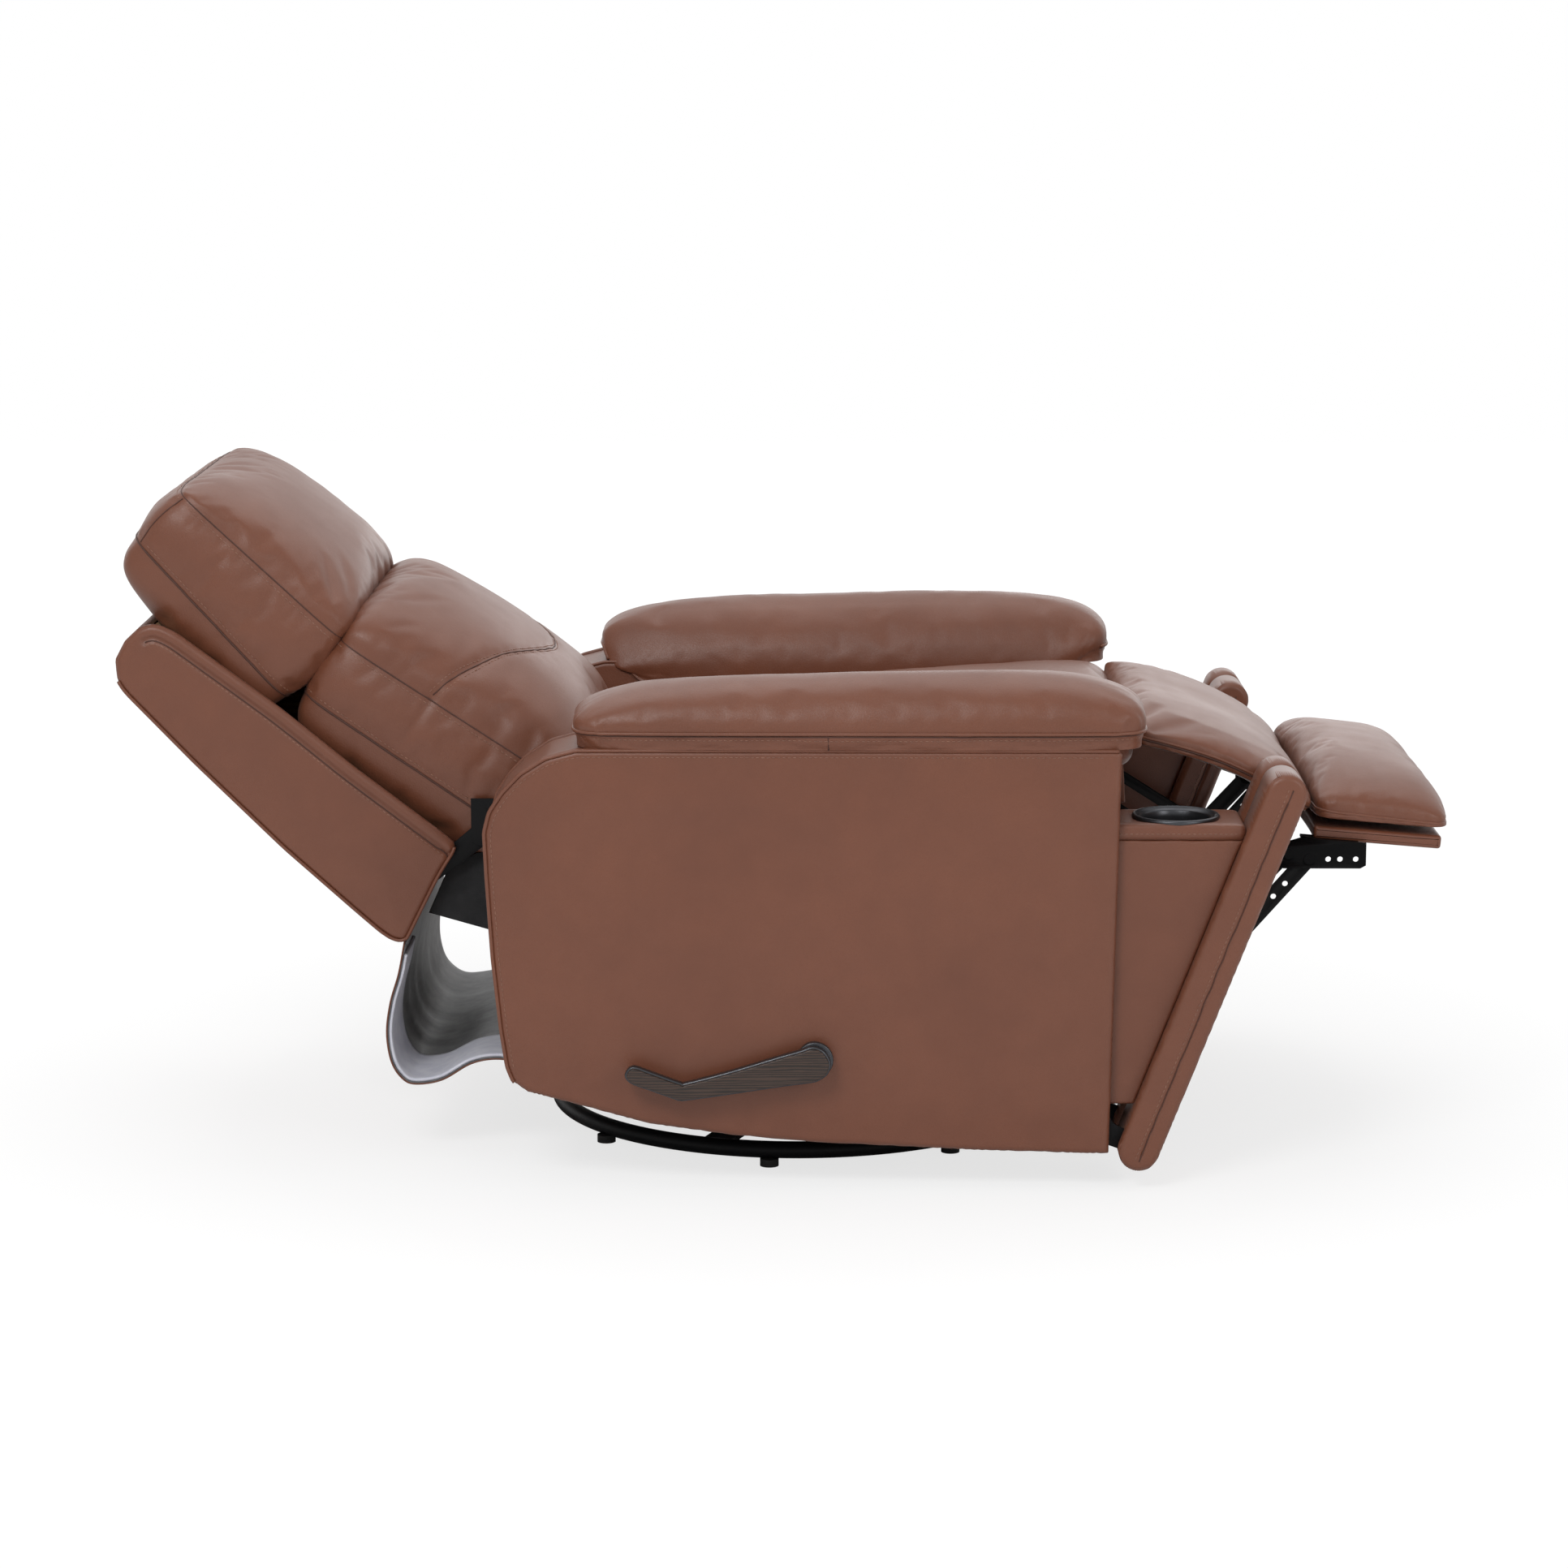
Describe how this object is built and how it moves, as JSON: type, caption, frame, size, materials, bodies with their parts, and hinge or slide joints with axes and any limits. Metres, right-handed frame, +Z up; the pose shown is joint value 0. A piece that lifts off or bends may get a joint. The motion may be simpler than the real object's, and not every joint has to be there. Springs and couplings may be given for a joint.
{
  "type": "swivel glider recliner",
  "caption": "Leather swivel glider recliner shown fully reclined, with side handle, legrest linkage, chaise pad, ring base and tilt-out arm fronts with cup holders.",
  "frame": {"origin": "on the floor at the centre of the base ring, on the swivel axis", "axes": "+X the sitter's forward, +Y the sitter's left, +Z up; metres"},
  "size_m": [1.6949, 0.9205, 0.8809],
  "materials": {
    "leather": "satin medium brown, fine grain",
    "black_steel": "satin black",
    "spring_steel": "plain bright wire",
    "gunmetal": "smooth gunmetal",
    "dark_wood": "dark lacquered grain",
    "timber": "raw frame timber",
    "glide_rubber": "matt",
    "cambric": "thin woven dust cloth"
  },
  "bodies": {
    "base": {"base_ring": "black_steel", "ring_spokes": "black_steel", "ring_glides": "glide_rubber", "swivel_hub": "black_steel"},
    "turntable": {"swivel_plate": "black_steel", "glider_frame": "black_steel"},
    "front_glides": {"front_glide_links": "black_steel"},
    "rear_glides": {"rear_glide_links": "black_steel"},
    "chassis": {"chassis_rails": "black_steel", "hanger_plates": "black_steel", "mech_side_plates": "black_steel", "seat_cleats": "black_steel", "seat_frame_rails": "black_steel", "seat_springs": "spring_steel", "seat_cushion": "leather", "seat_front_rail": "leather", "seat_rear_flap": "leather", "rear_skirt": "leather", "dust_cover": "cambric", "arm_right": "leather", "arm_left": "leather", "arm_frame_right": "timber", "arm_frame_left": "timber", "arm_pad_right": "leather", "arm_pad_left": "leather", "tilt_straps": "black_steel", "handle_escutcheon": "gunmetal"},
    "handle": {"handle_lever": "dark_wood", "handle_trim": "gunmetal", "drive_tube": "black_steel"},
    "rods": {"drive_rods": "black_steel"},
    "arm_front_right": {"tilt_panel_right": "leather", "tilt_bin_right": "leather", "bin_lid_right": "leather", "cup_holder_right": "gunmetal", "tilt_pin_right": "spring_steel"},
    "arm_front_left": {"tilt_panel_left": "leather", "tilt_bin_left": "leather", "bin_lid_left": "leather", "cup_holder_left": "gunmetal", "tilt_pin_left": "spring_steel"},
    "back": {"back_shell": "leather", "back_frame": "timber", "back_boards": "timber", "back_hinge_arms": "black_steel", "back_cushion": "leather", "headrest": "leather"},
    "legrest_drive": {"drive_links": "black_steel"},
    "legrest_front": {"front_links": "black_steel"},
    "legrest_guide": {"guide_links": "black_steel"},
    "legrest_tie": {"tie_links": "black_steel"},
    "footrest": {"ottoman_brackets": "black_steel", "ottoman_board": "leather", "ottoman_pad": "leather"},
    "chaise": {"chaise_pad": "leather"}
  },
  "joints": [
    {"name": "swivel", "type": "hinge", "parent": "base", "child": "turntable", "pos_m": [0, 0, 0.05], "axis": [0, 0, 1], "continuous": true},
    {"name": "front_glide", "type": "hinge", "parent": "turntable", "child": "front_glides", "pos_m": [0.19, 0, 0.195], "axis": [0, 1, 0], "range_deg": [-15, 15]},
    {"name": "rear_glide", "type": "hinge", "parent": "turntable", "child": "rear_glides", "pos_m": [-0.19, 0, 0.195], "axis": [0, 1, 0], "range_deg": [-15, 15]},
    {"name": "glide_hang", "type": "hinge", "parent": "front_glides", "child": "chassis", "pos_m": [0.19, 0, 0.11], "axis": [0, 1, 0], "range_deg": [-15, 15]},
    {"name": "handle_turn", "type": "hinge", "parent": "chassis", "child": "handle", "pos_m": [0.024, 0, 0.173], "axis": [0, 1, 0], "range_deg": [0, 151]},
    {"name": "rod_turn", "type": "hinge", "parent": "handle", "child": "rods", "pos_m": [0.01671, 0, 0.19052], "axis": [0, 1, 0], "range_deg": [-146, 0]},
    {"name": "tilt_out_right", "type": "hinge", "parent": "chassis", "child": "arm_front_right", "pos_m": [0.442, 0, 0.05], "axis": [0, 1, 0], "range_deg": [-21.2, 0]},
    {"name": "tilt_out_left", "type": "hinge", "parent": "chassis", "child": "arm_front_left", "pos_m": [0.442, 0, 0.05], "axis": [0, 1, 0], "range_deg": [-21.2, 0]},
    {"name": "back_recline", "type": "hinge", "parent": "chassis", "child": "back", "pos_m": [-0.37, 0, 0.44], "axis": [0, 1, 0], "range_deg": [0, 31]},
    {"name": "legrest", "type": "hinge", "parent": "chassis", "child": "legrest_drive", "pos_m": [0.3423, 0, 0.4222], "axis": [0, 1, 0], "range_deg": [0, 81.38]},
    {"name": "legrest_knee", "type": "hinge", "parent": "legrest_drive", "child": "legrest_front", "pos_m": [0.55465, 0, 0.28182], "axis": [0, 1, 0], "range_deg": [-74, 0]},
    {"name": "footrest_turn", "type": "hinge", "parent": "legrest_front", "child": "footrest", "pos_m": [0.652, 0, 0.393], "axis": [0, 1, 0], "range_deg": [0, 83]},
    {"name": "guide_turn", "type": "hinge", "parent": "chassis", "child": "legrest_guide", "pos_m": [0.36964, 0, 0.45348], "axis": [0, 1, 0], "range_deg": [0, 82]},
    {"name": "tie_turn", "type": "hinge", "parent": "legrest_drive", "child": "legrest_tie", "pos_m": [0.52602, 0, 0.29219], "axis": [0, 1, 0], "range_deg": [-74, 0]},
    {"name": "chaise_turn", "type": "hinge", "parent": "chassis", "child": "chaise", "pos_m": [0.4303, 0, 0.547], "axis": [0, 1, 0], "range_deg": [0, 69]}
  ],
  "couplings": [
    {"joint": "rear_glide", "follows": "front_glide", "ratio": 1},
    {"joint": "glide_hang", "follows": "front_glide", "ratio": -1},
    {"joint": "legrest_knee", "follows": "legrest", "ratio": -0.90747},
    {"joint": "footrest_turn", "follows": "legrest", "ratio": 1.0134},
    {"joint": "guide_turn", "follows": "legrest", "ratio": 1.0027},
    {"joint": "tie_turn", "follows": "legrest", "ratio": -0.90903},
    {"joint": "handle_turn", "follows": "legrest", "ratio": 1.8431},
    {"joint": "rod_turn", "follows": "legrest", "ratio": -1.7772},
    {"joint": "chaise_turn", "follows": "legrest", "ratio": 0.8356}
  ]
}
